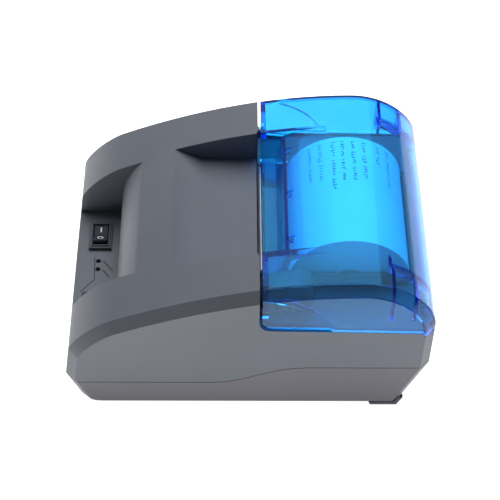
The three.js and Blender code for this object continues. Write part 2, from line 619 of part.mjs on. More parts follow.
// ---------------------------------------------------------------- printing mechanism
function mechanismFrame() {
  const { x0, x1, frontY, rearY, bottomZ, topZ, sheet } = FRAME;
  const notchRadius = BUSH.radius + GAP;
  const sides = mirrored((side) => {
    const [a, b] = between(side, x0, x1);
    return cut(
      box(a, b, frontY, rearY, bottomZ, topZ),
      rodX(PLATEN.y, PLATEN.z, notchRadius, a - 1, b + 1),
      box(a - 1, b + 1, PLATEN.y - notchRadius, PLATEN.y + notchRadius, PLATEN.z, SOLID_SPAN),
      rodX(HEAD_PIVOT.y, HEAD_PIVOT.z, HEAD_PIVOT.radius + GAP, a - 1, b + 1, 16),
      rodX(PINION.y, PINION.z, 3, a - 1, b + 1),
    );
  });
  const front = box(-x1, x1, frontY, frontY + sheet, bottomZ, topZ);
  const base = box(-x1, x1, frontY, PLATEN.y + sheet, bottomZ, bottomZ + sheet);
  const slotY = [FLEX.y - 1.2, FLEX.y + 1.6];
  const flexSlot = box(FLEX.x0 - 1, FLEX.x1 + 1, ...slotY, bottomZ - 1, bottomZ + sheet + 1);
  return cut(join(front, base, ...sides), flexSlot);
}
add('mechanism_frame', mechanismFrame(), STEEL);

add('stepper_motor', join(
  rodX(PINION.y, PINION.z, MOTOR.radius, MOTOR.x0, MOTOR.x1, 40),
  box(...MOTOR.flangeX, PINION.y - 3.5, PINION.y + 3.5, PINION.z - MOTOR.radius - 0.2, PINION.z + 12),
), STEEL);

add('head_heatsink', cut(
  join(
    box(-HEAD.halfWidth, HEAD.halfWidth, HEAD.frontY, HEAD.rearY, HEAD.bottomZ, HEAD.topZ),
    box(-HEAD.halfWidth, HEAD.halfWidth, HEAD.frontY - HEAD.foot, HEAD.rearY, HEAD.bottomZ, HEAD.shoulderZ),
  ),
  rodX(HEAD_PIVOT.y, HEAD_PIVOT.z, HEAD_PIVOT.radius + GAP, -40, 40, 16),
), ALUMINIUM);
add('head_ceramic', box(-27, 27, HEAD.rearY + 0.05, HEAD.rearY + 0.65, HEAD.shoulderZ + 0.5, HEAD.topZ - 0.4),
  CERAMIC);
const pivotX = [-HEAD_PIVOT.halfLength, HEAD_PIVOT.halfLength];
add('head_pivot_pin', rodX(HEAD_PIVOT.y, HEAD_PIVOT.z, HEAD_PIVOT.radius, ...pivotX, 12), STEEL);

// A compression spring as a closed helical tube along Y.
function spring(x, z, y0, y1) {
  const { turns, coilRadius, wireRadius } = HEAD_SPRING;
  const steps = turns * 10;
  const points = [];
  for (let step = 0; step <= steps; step += 1) {
    const share = step / steps;
    const angle = share * turns * 2 * Math.PI;
    points.push(new THREE.Vector3(
      x + coilRadius * Math.cos(angle),
      y0 + share * (y1 - y0),
      z + coilRadius * Math.sin(angle),
    ));
  }
  const wire = new THREE.Shape().absarc(0, 0, wireRadius, 0, 2 * Math.PI, false);
  const path = new THREE.CatmullRomCurve3(points);
  return solid(new THREE.ExtrudeGeometry(wire, { steps, extrudePath: path, curveSegments: 3 }));
}
mirrored((side) => {
  const name = side < 0 ? 'head_spring_left' : 'head_spring_right';
  const frontY = FRAME.frontY + FRAME.sheet + 2 * GAP;
  const rearY = HEAD.frontY - HEAD.foot - 0.1;
  add(name, spring(side * HEAD_SPRING.x, HEAD_SPRING.z, frontY, rearY), STEEL);
});

function tearBar() {
  const { pitch, teeth, bottomZ, rootZ, tipZ, y, thickness } = TEAR_BAR;
  const halfLength = teeth * pitch / 2;
  const outline = [[-halfLength, bottomZ]];
  for (let tooth = 0; tooth < teeth; tooth += 1) {
    const left = tooth * pitch - halfLength;
    outline.push([left, rootZ], [left + pitch / 2, tipZ]);
  }
  outline.push([halfLength, rootZ], [halfLength, bottomZ]);
  const geometry = new THREE.ExtrudeGeometry(polygon(outline), { depth: thickness, bevelEnabled: false });
  geometry.applyMatrix4(FRONT_VIEW);
  return solid(geometry).translate([0, y + thickness, 0]);
}
add('tear_bar', tearBar(), STEEL);
add('paper_sensor', box(-4, 4, 12.4, 15.4, 34.5, 38.2), BLACK);

// ---------------------------------------------------------------- boards and sockets
const boardTop = MAIN_BOARD.z + MAIN_BOARD.thickness;
add('main_board', cut(
  box(-MAIN_BOARD.halfWidth, MAIN_BOARD.halfWidth, MAIN_BOARD.y0, MAIN_BOARD.y1, MAIN_BOARD.z, boardTop),
  ...BOARD_SCREWS.map(([x, y]) => rodZ(x, y, 1.5, 0, 20, 16)),
), BOARD_GREEN);
BOARD_SCREWS.forEach(([x, y], index) => {
  const screw = join(rodZ(x, y, 2.4, boardTop + GAP, boardTop + 1.8), rodZ(x, y, 1, 5, boardTop + 1, 12));
  const drive = around({ x, y }, 3, 0.6, boardTop + 1.2, 20);
  add(`board_screw_${index + 1}`, cut(screw, drive), STEEL);
});
add('processor_chip', around({ x: -2, y: -28 }, 12, 12, boardTop + GAP, boardTop + 1.8), BLACK);
add('storage_capacitor', rodZ(24, -20, 4.5, boardTop + GAP, boardTop + 12), DARK_GREY);

// A white socket on the main board, hollow from above.
function boardConnector(place, length, width, topZ, wall) {
  return cut(
    around(place, length, width, boardTop + GAP, topZ),
    around(place, length - 2, width - 2 * wall, boardTop + 1.5, SOLID_SPAN),
  );
}
add('head_connector', boardConnector(FLEX_SOCKET, 24, 6, 15.6, 2), NYLON);
add('motor_connector', boardConnector(MOTOR_SOCKET, 12, 6, boardTop + 6, 1.2), NYLON);
add('buzzer', cut(
  rodZ(BUZZER.x, BUZZER.y, BUZZER.radius, boardTop + GAP, boardTop + 6.5, 28),
  rodZ(BUZZER.x, BUZZER.y, 1, boardTop + 4, boardTop + 9),
), BLACK);
for (const [name, port] of Object.entries(PORTS)) {
  const middleX = (port.x0 + port.x1) / 2;
  const middleZ = (PORT_Z0 + port.z1) / 2;
  const housing = box(port.x0, port.x1, port.y0, PORT_FACE_Y, PORT_Z0, port.z1);
  const mouth = box(middleX - port.holeWidth / 2, middleX + port.holeWidth / 2, PORT_FACE_Y - PORT_DEPTH,
    SOLID_SPAN, middleZ - port.holeHeight / 2, middleZ + port.holeHeight / 2);
  add(name, cut(housing, mouth), port.material);
}
const panelTop = PANEL_BOARD.z + PANEL_BOARD.thickness;
add('panel_board',
  box(PANEL_BOARD.x0, PANEL_BOARD.x1, PANEL_BOARD.y0, PANEL_BOARD.y1, PANEL_BOARD.z, panelTop), BOARD_GREEN);
add('tact_switch', join(
  around(FEED, 6, 6, panelTop + GAP, panelTop + 1.6),
  rodZ(FEED.x, FEED.y, 1.6, panelTop + 1.1, panelTop + 2.4),
), BLACK);
for (const light of LIGHTS) {
  const lens = rodZ(light.x, LIGHT_Y, LIGHT_HOLE - GAP, panelTop + GAP, NICHE.floorZ - 0.4, 16);
  add(light.name, lens, LIGHT_LENS);
}

// Flat cable from the print head down to the main board.
function headFlex() {
  const { x0, x1, y, thickness } = FLEX;
  const headY = 0.2;
  const socketZ = 13.4;
  const route = new THREE.Shape();
  route.moveTo(headY, 45);
  route.bezierCurveTo(y + 0.3, 41, y, 34, y, 30);
  route.lineTo(y, socketZ);
  route.lineTo(y + thickness, socketZ);
  route.lineTo(y + thickness, 30);
  route.bezierCurveTo(y + 0.3 + thickness, 34, y + 0.6, 41, headY + thickness, 44.7);
  return slab(route, x0, x1);
}
add('head_flex', headFlex(), FLEX_AMBER);

// ---------------------------------------------------------------- controls
function rockerHousing() {
  const { length, width, depth, rim } = ROCKER_WELL;
  const floor = NICHE.floorZ;
  const bezel = around(ROCKER, ROCKER.length, ROCKER.width, floor + GAP, floor + 1.5);
  const collar = around(ROCKER, length + 2 * rim, width + 2 * rim, floor + GAP, floor + 2.1);
  const body = around(ROCKER, ROCKER_BODY.length, ROCKER_BODY.width, floor - ROCKER.depth, floor + 1);
  return cut(join(bezel, collar, body), around(ROCKER, length, width, floor - depth, SOLID_SPAN));
}
add('rocker_housing', rockerHousing(), BLACK);

// The cap turns about the Y axis; its far half is pressed in while the near half stands proud.
function rockerCap() {
  const outline = polygon([
    [-5.2, 0.9], [0, 0.2], [5.0, 2.9], [5.0, 0], [1.2, -2.6], [-1.2, -2.6], [-5.2, -0.9],
  ]);
  const width = ROCKER_WELL.width - 2 * GAP;
  const geometry = new THREE.ExtrudeGeometry(outline, { depth: width, bevelEnabled: false });
  geometry.applyMatrix4(FRONT_VIEW);
  return solid(geometry).translate([ROCKER.x, ROCKER.y + width / 2, NICHE.floorZ + 1]);
}
add('rocker_cap', rockerCap(), BLACK);

const feedFootZ = panelTop + 3.5;
add('feed_button', join(
  around(FEED, FEED.length, FEED.width, feedFootZ, NICHE.floorZ + 1.3),
  around(FEED, FEED.length + 2 * FEED.skirt, FEED.width + 2 * FEED.skirt, feedFootZ,
    NICHE.floorZ - WALL - GAP),
), DARK_GREY);

// ---------------------------------------------------------------- feet and screws
const UNDERSIDE = caseBlock(-GAP);
function rearFoot(side) {
  const { x0, footY, topY, topZ } = REAR_FOOT;
  const outline = polygon([[topY[0], topZ], [footY[0], 0], [footY[1], 0], [topY[1], topZ]]);
  return cut(slab(outline, ...between(side, x0, HALF_WIDTH - 0.4)), UNDERSIDE);
}
add('rear_foot_left', rearFoot(-1), GREY_RUBBER);
add('rear_foot_right', rearFoot(1), GREY_RUBBER);
add('front_foot_left', rodZ(-FRONT_FOOT.x, FRONT_FOOT.y, FRONT_FOOT.radius, 0, FLOOR_Z - GAP), RUBBER);
add('front_foot_right', rodZ(FRONT_FOOT.x, FRONT_FOOT.y, FRONT_FOOT.radius, 0, FLOOR_Z - GAP), RUBBER);

CASE_SCREWS.forEach(([x, y], index) => {
  const headZ = 3.2;
  const head = rodZ(x, y, 2.9, headZ, headZ + 1.5);
  const shank = rodZ(x, y, CASE_POST.bore - GAP, headZ + 1.3, 22, 12);
  const slot = around({ x, y }, 0.8, 4, 0, headZ + 0.6);
  const crossSlot = around({ x, y }, 4, 0.8, 0, headZ + 0.6);
  add(`case_screw_${index + 1}`, cut(join(head, shank), slot, crossSlot), STEEL);
});

export default printer;
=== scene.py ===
import json
import math
import random

import bmesh
import bpy
from mathutils import Matrix, Vector


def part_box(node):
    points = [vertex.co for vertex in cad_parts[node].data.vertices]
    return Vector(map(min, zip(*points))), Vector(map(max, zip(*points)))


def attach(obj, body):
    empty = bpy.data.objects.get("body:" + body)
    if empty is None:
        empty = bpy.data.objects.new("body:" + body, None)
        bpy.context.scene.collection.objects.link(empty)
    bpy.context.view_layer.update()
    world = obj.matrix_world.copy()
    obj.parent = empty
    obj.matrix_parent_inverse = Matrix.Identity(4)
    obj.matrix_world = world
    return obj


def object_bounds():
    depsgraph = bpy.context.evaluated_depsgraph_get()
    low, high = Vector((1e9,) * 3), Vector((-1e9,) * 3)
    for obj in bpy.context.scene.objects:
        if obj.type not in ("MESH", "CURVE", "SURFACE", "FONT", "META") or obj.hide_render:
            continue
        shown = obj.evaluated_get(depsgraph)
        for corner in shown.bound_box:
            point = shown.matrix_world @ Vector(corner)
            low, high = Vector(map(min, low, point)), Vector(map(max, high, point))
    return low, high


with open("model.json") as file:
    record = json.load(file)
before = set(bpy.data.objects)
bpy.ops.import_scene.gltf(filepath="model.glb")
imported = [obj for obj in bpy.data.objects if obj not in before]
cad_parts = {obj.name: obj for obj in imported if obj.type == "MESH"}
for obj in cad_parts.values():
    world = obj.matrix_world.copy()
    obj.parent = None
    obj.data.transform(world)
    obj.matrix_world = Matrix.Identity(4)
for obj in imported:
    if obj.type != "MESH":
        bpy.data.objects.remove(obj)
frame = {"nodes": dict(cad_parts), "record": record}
cad_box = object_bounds()
nodes = frame["nodes"]

MM = 0.001
INK_HEIGHT = 0.05 * MM
PROBE_HEIGHT = 0.1  # metres above a place from which surface_under looks down on it
SHARP_EDGE = math.radians(32)
FLAT_JOINT = math.radians(0.5)
WELD_GAP = 0.002 * MM
FINEST_EDGE = 0.12

# Clear blue polycarbonate of the cover.
COVER_TINTS = (0.40, 0.81, 0.985, 1), (0.45, 0.84, 0.995, 1)
RIB_TINT = (0.05, 0.16, 0.62, 1)
DEPTH_TINT = (0.02, 0.76, 0.975, 1)
DEPTH_DENSITY = 560.0
LAMPLIGHT_TINT = (0.70, 0.92, 1.0, 1)

# The slip printed on the roll: (degrees behind the top, length in mm, is it bold) for each row.
PRINT_ROWS = [(-40, 18, False), (-28, 12, False), (-15, 24, True), (-6, 21, True), (4.4, 23, True),
              (15, 16, True), (29, 10, False), (42, 15, False)]
PRINT_START = -26.0
LETTER = {"pitch": 1.5 * MM, "height": 1.9 * MM, "stroke": 0.42 * MM}

LABEL = {"low": (-26, -22), "high": (26, 10), "row_pitch": 4, "rows": 7}
BOARD_TRIES = 150

STUDIO_FLOOR = 3.0  # half its width, in metres
UNDERLIGHT = {"size": (0.6, 0.7), "radiance": 0.75, "aside": 0.32}
# name, azimuth, elevation, distance, width, height, radiance, seen in glossy surfaces
SOFTBOXES = [
    ("key", -90, 57, 1.0, 1.1, 0.9, 5.4, False),
    ("front_low", 0, 12, 0.9, 0.8, 0.2, 0.6, True),
    ("rear_low", 180, 12, 0.9, 0.8, 0.2, 0.9, True),
    ("far_side_low", -90, 8, 0.9, 0.8, 0.2, 1.0, True),
]
CAMERA = {"elevation": 50, "yaw": -1.147, "roll": 1.073, "distance": 0.61317, "lens": 102.74}
CAMERA_TARGET = Vector((0.0, 0.0015, 0.0355))


# ---------------------------------------------------------------- node helpers
def linear(red, green, blue):
    """A colour given as sRGB values from 0 to 255, as linear RGBA."""
    def channel(value):
        value /= 255
        return value / 12.92 if value <= 0.04045 else ((value + 0.055) / 1.055) ** 2.4
    return (channel(red), channel(green), channel(blue), 1.0)


class Shader:
    """A material with a Principled shader and short ways to add nodes to it."""

    def __init__(self, name, **sockets):
        self.material = bpy.data.materials.new(name)
        self.material.use_nodes = True
        self.tree = self.material.node_tree
        self.main = self.tree.nodes["Principled BSDF"]
        self.output = self.tree.nodes["Material Output"]
        self.place = self.add("ShaderNodeTexCoord").outputs["Object"]
        for socket, value in sockets.items():
            self.main.inputs[socket.replace("_", " ")].default_value = value

    def add(self, kind, inputs=None, **settings):
        node = self.tree.nodes.new(kind)
        for key, value in settings.items():
            setattr(node, key, value)
        self.feed((node.inputs[key], value) for key, value in (inputs or {}).items())
        return node

    def feed(self, pairs):
        """Links or sets each socket, whichever its value asks for."""
        for socket, value in pairs:
            if isinstance(value, bpy.types.NodeSocket):
                self.tree.links.new(value, socket)
            else:
                socket.default_value = value

    def link(self, output, socket):
        self.tree.links.new(output, self.main.inputs[socket])

    def noise(self, scale, detail=3.0, stretch=None, roughness=0.5):
        """Noise of about 1/scale metres, stretched along an axis if asked."""
        place = self.place
        if stretch:
            place = self.add("ShaderNodeMapping", {"Vector": place, "Scale": stretch}).outputs[0]
        inputs = {"Vector": place, "Scale": scale, "Detail": detail, "Roughness": roughness}
        return self.add("ShaderNodeTexNoise", inputs).outputs["Fac"]

    def math(self, operation, first, second=0.0, third=0.0):
        node = self.add("ShaderNodeMath", operation=operation)
        self.feed(zip(node.inputs, (first, second, third)))
        return node.outputs[0]

    def ramp(self, value, low, high, start=0.0, end=1.0):
        """A linear map of value from start..end to low..high."""
        inputs = {"Value": value, "From Min": start, "From Max": end, "To Min": low, "To Max": high}
        return self.add("ShaderNodeMapRange", inputs).outputs[0]

    def mix(self, factor, first, second):
        node = self.add("ShaderNodeMix", data_type="RGBA")
        self.feed(((node.inputs[0], factor), (node.inputs[6], first), (node.inputs[7], second)))
        return node.outputs[2]

    def bump(self, height, strength, distance, below=None):
        inputs = {"Height": height, "Strength": strength, "Distance": distance}
        if below is not None:
            inputs["Normal"] = below
        return self.add("ShaderNodeBump", inputs).outputs[0]


def shade(colour, factor):
    return tuple(channel * factor for channel in colour[:3]) + (1.0,)


# ---------------------------------------------------------------- materials
def moulded(name, colour, roughness, grain=0.25, depth=0.35, tone=0.05):
    """Moulded plastic: spark-eroded grain about 0.3 mm wide and a slight cloudiness of tone."""
    s = Shader(name, IOR=1.5)
    fine = s.noise(1 / (grain * MM), detail=4.0, roughness=0.65)
    cloud = s.noise(28.0, detail=4.0)
    speck = s.noise(2.2 / (grain * MM), detail=1.0)
    tone_map = s.ramp(cloud, 1 - tone, 1 + tone, 0.3, 0.7)
    tinted = s.mix(s.ramp(fine, 0.0, 1.0, 0.35, 0.65), shade(colour, 0.94), shade(colour, 1.05))
    scaled = s.add("ShaderNodeVectorMath", {0: tinted}, operation="SCALE")
    s.tree.links.new(tone_map, scaled.inputs["Scale"])
    s.link(scaled.outputs[0], "Base Color")
    s.link(s.ramp(fine, roughness - 0.06, roughness + 0.08, 0.3, 0.7), "Roughness")
    height = s.math("MULTIPLY_ADD", speck, 0.4, fine)
    s.link(s.bump(height, depth, 0.06 * MM), "Normal")
    return s.material


def rib_mask(s):
    """1 where a moulded-in rib doubles the thickness of the cover, both sides alike."""
    spans = [
        ((0.0, 15.2, 66.0), (0.45, 18.8, 75.0)),
        ((24.05, 15.2, 66.0), (24.95, 18.8, 75.0)),
        ((39.9, 55.0, 58.0), (41.1, 73.5, 80.0)),
        ((36.0, 55.0, 58.0), (40.5, 56.2, 80.0)),
        ((40.5, 55.9, 58.0), (54.0, 57.1, 80.0)),
        ((40.5, 64.9, 58.0), (54.0, 66.1, 80.0)),
    ]
    folded = s.add("ShaderNodeVectorMath", {0: s.place}, operation="ABSOLUTE").outputs[0]
    total = 0.0
    for low, high in spans:
        middle = [(a + b) / 2 * MM for a, b in zip(low, high)]
        half = [(b - a) / 2 * MM for a, b in zip(low, high)]
        away = s.add("ShaderNodeVectorMath", {0: folded, 1: middle}, operation="SUBTRACT").outputs[0]
        size = s.add("ShaderNodeVectorMath", {0: away}, operation="ABSOLUTE").outputs[0]
        share = s.add("ShaderNodeVectorMath", {0: size, 1: half}, operation="DIVIDE").outputs[0]
        axes = s.add("ShaderNodeSeparateXYZ", {0: share}).outputs
        largest = s.math("MAXIMUM", s.math("MAXIMUM", axes[0], axes[1]), axes[2])
        total = s.math("MAXIMUM", s.math("LESS_THAN", largest, 1.0), total)
    return total


def rim_mask(s):
    """1 on the cut edge along the bottom of both sides of the cover, which isn't polished."""
    facing = s.add("ShaderNodeTexCoord").outputs["Normal"]
    slant = s.math("ABSOLUTE", s.add("ShaderNodeSeparateXYZ", {0: facing}).outputs[2])
    place = s.add("ShaderNodeSeparateXYZ", {0: s.place}).outputs
    aside = s.math("GREATER_THAN", s.math("ABSOLUTE", place[0]), 53.0 * MM)
    low = s.math("LESS_THAN", place[2], 53.3 * MM)
    return s.math("MULTIPLY", s.math("MULTIPLY", aside, low), s.math("GREATER_THAN", slant, 0.3))


def cover_plastic(name):
    """Clear blue polycarbonate: tinted at its faces and, more deeply, along its thickness."""
    s = Shader(name, IOR=1.40, Transmission_Weight=0.96)
    streak = s.noise(60.0, detail=3.0)
    tint = s.mix(s.ramp(streak, 0.0, 1.0, 0.35, 0.65), *COVER_TINTS)
    s.link(s.mix(rib_mask(s), tint, RIB_TINT), "Base Color")
    polish = s.ramp(s.noise(900.0, detail=2.0), 0.03, 0.07, 0.3, 0.7)
    s.link(s.math("MAXIMUM", polish, s.math("MULTIPLY", rim_mask(s), 0.7)), "Roughness")
    s.link(s.bump(s.noise(45.0, detail=2.0), 0.05, 0.4 * MM), "Normal")
    depth = s.add("ShaderNodeVolumeAbsorption", {"Color": DEPTH_TINT, "Density": DEPTH_DENSITY})
    s.tree.links.new(depth.outputs[0], s.output.inputs["Volume"])
    lamplight = s.add("ShaderNodeBsdfTransparent", {"Color": LAMPLIGHT_TINT})
    path = s.add("ShaderNodeLightPath")
    both = s.add("ShaderNodeMixShader", {0: path.outputs["Is Shadow Ray"]})
    s.tree.links.new(s.main.outputs[0], both.inputs[1])
    s.tree.links.new(lamplight.outputs[0], both.inputs[2])
    s.tree.links.new(both.outputs[0], s.output.inputs["Surface"])
    return s.material


def paper_material(name, axis):
    """Thermal paper: smooth and faintly fibrous, with the wound edges showing as fine rings."""
    s = Shader(name, IOR=1.45)
    away = s.add("ShaderNodeVectorMath", {0: s.place, 1: axis}, operation="SUBTRACT").outputs[0]
    flat = s.add("ShaderNodeVectorMath", {0: away, 1: (0, 1, 1)}, operation="MULTIPLY").outputs[0]
    radius = s.add("ShaderNodeVectorMath", {0: flat}, operation="LENGTH").outputs["Value"]
    normal = s.add("ShaderNodeNewGeometry").outputs["Normal"]
    facing = s.add("ShaderNodeSeparateXYZ", {0: normal}).outputs["X"]
    edge = s.ramp(s.math("ABSOLUTE", facing), 0.0, 1.0, 0.7, 0.9)
    wobble = s.math("MULTIPLY_ADD", s.noise(260.0, detail=3.0), 0.0004, radius)
    rings = s.math("SINE", s.math("MULTIPLY", wobble, 2 * math.pi / (0.36 * MM)))
    ring_mask = s.math("MULTIPLY", s.ramp(rings, 0.0, 1.0, -1.0, 1.0), edge)
    fibre = s.noise(1400.0, detail=4.0, stretch=(1.0, 0.35, 0.35))
    sheet = s.mix(s.ramp(fibre, 0.0, 1.0, 0.3, 0.7), linear(240, 241, 243), linear(250, 250, 250))
    s.link(s.mix(ring_mask, sheet, linear(206, 207, 210)), "Base Color")
    s.link(s.ramp(fibre, 0.52, 0.68, 0.3, 0.7), "Roughness")
    under = s.bump(fibre, 0.12, 0.03 * MM)
    s.link(s.bump(ring_mask, 0.5, 0.08 * MM, under), "Normal")
    return s.material


def metal(name, colour, roughness, stretch):
    """Sheet or turned metal with a brushed grain along one axis."""
    s = Shader(name, Metallic=1.0)
    brush = s.noise(3200.0, detail=3.0, stretch=stretch)
    stain = s.noise(70.0, detail=4.0)
    s.link(s.mix(s.ramp(stain, 0.0, 1.0, 0.35, 0.65), shade(colour, 0.88), colour), "Base Color")
    s.link(s.ramp(brush, roughness - 0.08, roughness + 0.12, 0.3, 0.7), "Roughness")
    s.link(s.bump(brush, 0.18, 0.03 * MM), "Normal")
    return s.material


def rubber(name, colour):
    s = Shader(name, IOR=1.5)
    pores = s.noise(2600.0, detail=5.0, roughness=0.7)
    dust = s.noise(180.0, detail=4.0)
    s.link(s.mix(s.ramp(dust, 0.0, 0.35, 0.5, 0.8), colour, shade(colour, 2.2)), "Base Color")
    s.link(s.ramp(pores, 0.72, 0.92, 0.3, 0.7), "Roughness")
    s.link(s.bump(pores, 0.4, 0.05 * MM), "Normal")
    return s.material


def circuit_board(name):
    """Green solder mask over copper tracks, with a scatter of plated holes."""
    s = Shader(name, IOR=1.5, Coat_Weight=0.3)
    tracks = s.add("ShaderNodeTexBrick", {"Vector": s.place, "Scale": 260.0, "Mortar Size": 0.06,
                                          "Brick Width": 1.9, "Row Height": 0.42})
    holes = s.add("ShaderNodeTexVoronoi", {"Vector": s.place, "Scale": 240.0}, feature="F1")
    plated = s.math("LESS_THAN", holes.outputs["Distance"], 0.13)
    mask = s.mix(tracks.outputs["Fac"], linear(20, 84, 48), linear(46, 122, 72))
    s.link(s.mix(plated, mask, linear(196, 188, 150)), "Base Color")
    s.link(plated, "Metallic")
    s.link(s.ramp(s.noise(1500.0), 0.28, 0.42, 0.3, 0.7), "Roughness")
    s.link(s.bump(tracks.outputs["Fac"], 0.3, 0.05 * MM), "Normal")
    return s.material


def glossy(name, colour, roughness=0.3, transmission=0.0):
    """Smooth moulded pieces: caps, chips, gears and lenses."""
    s = Shader(name, IOR=1.5, Transmission_Weight=transmission)
    cloud = s.noise(160.0, detail=4.0)
    depth = s.ramp(cloud, 0.0, 1.0, 0.3, 0.7)
    s.link(s.mix(depth, shade(colour, 0.9), shade(colour, 1.08)), "Base Color")
    s.link(s.ramp(s.noise(1200.0), roughness - 0.05, roughness + 0.07, 0.3, 0.7), "Roughness")
    s.link(s.bump(s.noise(900.0, detail=2.0), 0.1, 0.03 * MM), "Normal")
    return s.material


def cardboard(name):
    s = Shader(name)
    wound = s.noise(500.0, detail=5.0, stretch=(0.25, 1.0, 1.0))
    s.link(s.mix(wound, linear(150, 122, 88), linear(196, 170, 134)), "Base Color")
    s.link(s.ramp(wound, 0.75, 0.95), "Roughness")
    s.link(s.bump(wound, 0.4, 0.08 * MM), "Normal")
    return s.material


roll_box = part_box("paper_roll")
ROLL_AXIS = (Vector(roll_box[0]) + Vector(roll_box[1])) / 2
ROLL_RADIUS = (roll_box[1][2] - roll_box[0][2]) / 2

LOOKS = {
    "case_grey": moulded("case_grey", linear(95, 99, 107), 0.46),
    "base_grey": moulded("base_grey", linear(99, 98, 105), 0.50),
    "black_plastic": glossy("black_plastic", linear(24, 24, 27), 0.32),
    "dark_plastic": moulded("dark_plastic", linear(62, 65, 70), 0.48, grain=0.2),
    "cover_blue": cover_plastic("cover_blue"),
    "paper": paper_material("paper", (0.0, ROLL_AXIS.y, ROLL_AXIS.z)),
    "card": cardboard("card"),
    "rubber_black": rubber("rubber_black", linear(34, 34, 36)),
    "rubber_grey": rubber("rubber_grey", linear(84, 84, 90)),
    "nylon": glossy("nylon", linear(226, 222, 208), 0.42),
    "board_green": circuit_board("board_green"),
    "lens": glossy("lens", linear(15, 17, 18), 0.2),
    "flex": glossy("flex", linear(176, 112, 38), 0.28),
    "ceramic": glossy("ceramic", linear(214, 208, 194), 0.22),
    "steel": metal("steel", linear(176, 178, 182), 0.34, (0.05, 1.0, 1.0)),
    "aluminium": metal("aluminium", linear(196, 199, 204), 0.42, (0.08, 1.0, 1.0)),
}


def refine(node, width):
    """Rounds a moulded node's edges by width, and smooths its curved faces."""
    for polygon in node.data.polygons:
        polygon.use_smooth = True
    weld = node.modifiers.new("join faces", "WELD")
    weld.merge_threshold = WELD_GAP
    flats = node.modifiers.new("merge flats", "DECIMATE")
    flats.decimate_type = "DISSOLVE"
    flats.angle_limit = FLAT_JOINT
    edges = node.modifiers.new("edge radius", "BEVEL")
    edges.width = width
    edges.segments = 2
    edges.limit_method = "ANGLE"
    edges.angle_limit = SHARP_EDGE
    normals = node.modifiers.new("even shading", "WEIGHTED_NORMAL")
    normals.mode = "FACE_AREA"
    normals.weight = 60


EDGE_RADIUS = {
    "top_shell": 0.35, "bottom_shell": 0.35, "paper_cover": 0.3, "platen_bracket": 0.3,
    "roll_bucket": 0.3,
    "feed_button": 0.5, "rocker_housing": 0.35, "rocker_cap": 0.35, "usb_port": 0.15, "drawer_port": 0.2,
    "dc_jack": 0.2, "rear_foot_left": 0.4, "rear_foot_right": 0.4, "front_foot_left": 0.3,
    "front_foot_right": 0.3, "mechanism_frame": 0.15, "stepper_motor": 0.2, "head_heatsink": 0.2,
    "platen_gear": 0.08, "reduction_gear": 0.08, "motor_pinion": 0.08,
}


def dress_nodes():
    slots = {part["node"]: part["material_slot"] for part in frame["record"]["subparts"]}
    own = {
        "rocker_housing": moulded("rocker_bezel", linear(74, 76, 84), 0.42, grain=0.2),
        "rocker_cap": glossy("rocker_cap", linear(52, 54, 62), 0.34),
    }
    for name, node in nodes.items():
        node.data.materials.clear()
        node.data.materials.append(own.get(name, LOOKS[slots[name]]))
        refine(node, EDGE_RADIUS.get(name, FINEST_EDGE) * MM)


dress_nodes()


# ---------------------------------------------------------------- printed and fitted details
def new_piece(name, bm, material, body):
    """Turns a bmesh into a piece that rides on a body."""
    bmesh.ops.recalc_face_normals(bm, faces=bm.faces)
    mesh = bpy.data.meshes.new(name)
    bm.to_mesh(mesh)
    bm.free()
    mesh.materials.append(material)
    piece = bpy.data.objects.new(name, mesh)
    bpy.context.scene.collection.objects.link(piece)
    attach(piece, body)
    return piece


def block(bm, low, high, bevel=0.0):
    """A closed box between two corners in millimetres, with rounded edges if asked."""
    made = bmesh.ops.create_cube(bm, size=1.0)["verts"]
    for vert in made:
        for axis in range(3):
            middle = (low[axis] + high[axis]) / 2
            vert.co[axis] = (middle + vert.co[axis] * (high[axis] - low[axis])) * MM
    if bevel:
        edges = list({edge for vert in made for edge in vert.link_edges})
        bmesh.ops.bevel(bm, geom=edges, offset=bevel * MM, segments=2, affect="EDGES", profile=0.5)


def surface_under(node, down=Vector((0, 0, -1))):
    """A function that drops a point onto a CAD node and gives the point and normal found there."""
    def drop(point):
        start = Vector(point) - down * PROBE_HEIGHT
        hit, place, normal, _ = node.ray_cast(start, down)
        return (place, normal) if hit else (Vector(point), -down)

    return drop


def stroke(bm, drop, points, width):
    """A thin closed ribbon of ink along points, which lies on the surface that drop finds."""
    placed = [drop(point) for point in points]
    rings = []
    for index, (place, normal) in enumerate(placed):
        before = placed[max(index - 1, 0)][0]
        after = placed[min(index + 1, len(placed) - 1)][0]
        side = (after - before).cross(normal).normalized() * (width / 2)
        top = place + normal * INK_HEIGHT
        foot = place - normal * INK_HEIGHT * 0.4
        corners = (top - side, top + side, foot + side, foot - side)
        rings.append([bm.verts.new(corner) for corner in corners])
    for first, second in zip(rings, rings[1:]):
        for corner in range(4):
            after = (corner + 1) % 4
            bm.faces.new((first[corner], first[after], second[after], second[corner]))
    bm.faces.new(rings[0][::-1])
    bm.faces.new(rings[-1])


def on_roll(point):
    """A place on the paper roll from (x, angle behind the top), both held in a vector."""
    angle = point[1]
    normal = Vector((0, math.sin(angle), math.cos(angle)))
    return Vector((point[0], ROLL_AXIS.y, ROLL_AXIS.z)) + normal * ROLL_RADIUS, normal


